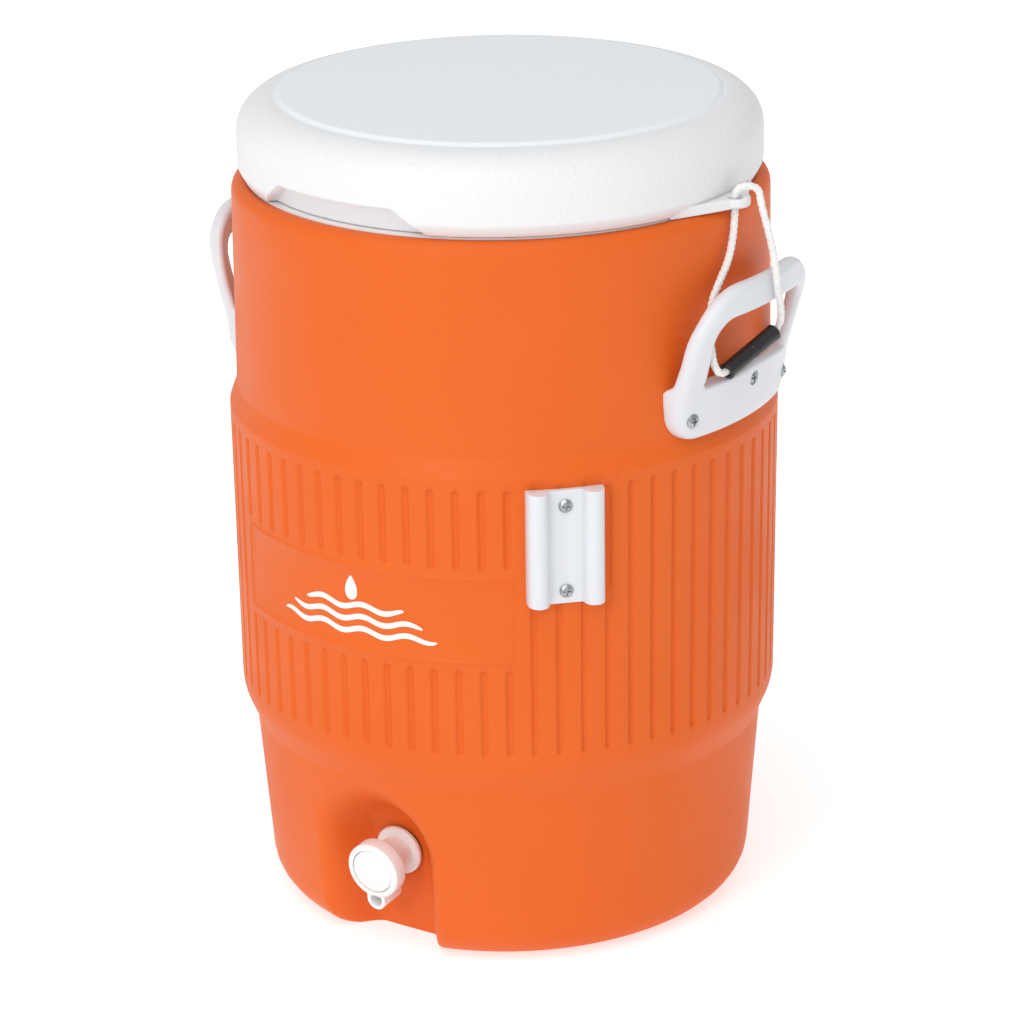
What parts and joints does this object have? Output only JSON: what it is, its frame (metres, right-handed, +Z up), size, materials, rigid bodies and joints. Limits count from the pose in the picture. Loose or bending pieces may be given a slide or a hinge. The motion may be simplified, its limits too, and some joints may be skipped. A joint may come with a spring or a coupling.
{
  "type": "insulated water jug",
  "caption": "Tall round insulated water jug with a lift-off seat lid tied on by a rope loop, two side handles, a push-button spigot in a front niche and a cup bracket.",
  "frame": {"origin": "centre of the base, on the surface the jug stands on", "axes": "+Z up along the jug's axis, -Y out through the spigot, +X towards the handle with the tether"},
  "size_m": [0.3752, 0.3301, 0.4997],
  "materials": {
    "orange_shell": "moulded polyethylene with a fine orange-peel grain",
    "foam": "poured rigid foam",
    "white_liner": "smooth food-grade plastic",
    "white_lid": "pebbled satin",
    "white_handle": "satin moulded",
    "spigot_white": "satin moulded",
    "screw_steel": "zinc plated",
    "gasket_rubber": "soft",
    "rope_white": "braided cord",
    "black_tube": "satin"
  },
  "bodies": {
    "root": {"outer_shell": "orange_shell", "insulation_foam": "foam", "inner_liner": "white_liner", "handle_left": "white_handle", "handle_right": "white_handle", "handle_screws_left": "screw_steel", "handle_screws_right": "screw_steel", "cup_bracket": "white_handle", "cup_bracket_screws": "screw_steel", "spigot_body": "spigot_white", "spigot_gland": "spigot_white", "spigot_spring": "screw_steel", "spigot_outer_gasket": "gasket_rubber", "spigot_inner_gasket": "gasket_rubber", "spigot_nut": "spigot_white", "tether_rope": "rope_white", "rope_connector": "black_tube"},
    "lid": {"lid_shell": "white_lid", "lid_foam": "foam", "lid_pan": "white_liner"},
    "button": {"spigot_button": "spigot_white", "spigot_stem": "spigot_white", "spigot_valve_seal": "gasket_rubber"}
  },
  "joints": [
    {"name": "lid_lift", "type": "slide", "parent": "root", "child": "lid", "axis": [0, 0, 1], "range_m": [0, 0.04], "deforming": ["tether_rope"]},
    {"name": "spigot_press", "type": "slide", "parent": "root", "child": "button", "axis": [0, 0.9945, 0.1045], "range_m": [0, 0.003], "stiffness_N_per_m": 700, "springref_m": -0.002, "deforming": ["spigot_spring"]}
  ]
}
